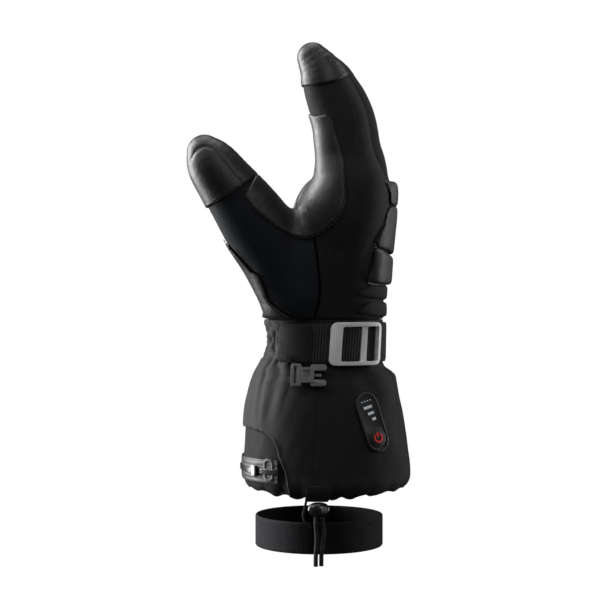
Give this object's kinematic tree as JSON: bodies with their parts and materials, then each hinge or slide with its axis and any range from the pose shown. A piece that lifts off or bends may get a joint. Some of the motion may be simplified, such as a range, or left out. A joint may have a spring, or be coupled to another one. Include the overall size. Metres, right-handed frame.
{
  "type": "heated glove",
  "caption": "Right-hand heated winter glove with leather palm, padded knuckle guard, wrist strap, long gauntlet cuff, control pad, hem draw cord and elastic leash.",
  "frame": {"origin": "the middle of the wrist, on the axis of the cuff, where the wearer's wrist sits", "axes": "+Z from the cuff to the fingertips, +X towards the back of the hand, +Y towards the little finger"},
  "size_m": [0.1422, 0.1174, 0.3285],
  "materials": {
    "softshell": "matt woven polyester softshell",
    "stretch_cloth": "smooth matt stretch polyester, navy black",
    "leather": "semi-gloss grain",
    "guard_leather": "semi-gloss, brown black",
    "webbing": "ribbed polypropylene weave",
    "hard_plastic": "satin grey acetal",
    "rubber": "satin",
    "red_rubber": "satin",
    "reflective_tape": "satin, ribbed",
    "cord_yarn": "matt polyester braid",
    "elastic": "fine matt elastic weave"
  },
  "bodies": {
    "root": {"gauntlet_cuff": "softshell", "index_finger": "softshell", "middle_finger": "softshell", "ring_finger": "softshell", "little_finger": "softshell", "flex_ridge_lower": "softshell", "flex_ridge_upper": "softshell", "strap_cover_tab": "softshell", "hem_tab": "softshell", "hand_shell": "stretch_cloth", "thumb": "stretch_cloth", "thumb_tip_cap": "leather", "index_tip_cap": "leather", "crotch_patch": "leather", "palm_leather": "leather", "knuckle_guard_lower": "guard_leather", "knuckle_guard_upper": "guard_leather", "knuckle_guard_top": "guard_leather", "wrist_strap": "webbing", "clip_loop": "webbing", "strap_buckle": "hard_plastic", "clip_plug": "hard_plastic", "zip_slider": "hard_plastic", "cord_lock": "hard_plastic", "control_pad": "rubber", "power_button": "red_rubber", "zipper": "reflective_tape", "zip_pull": "cord_yarn", "drawcord_right": "cord_yarn", "drawcord_left": "cord_yarn", "leash_cord": "cord_yarn", "leash_band": "elastic"}
  },
  "joints": []
}
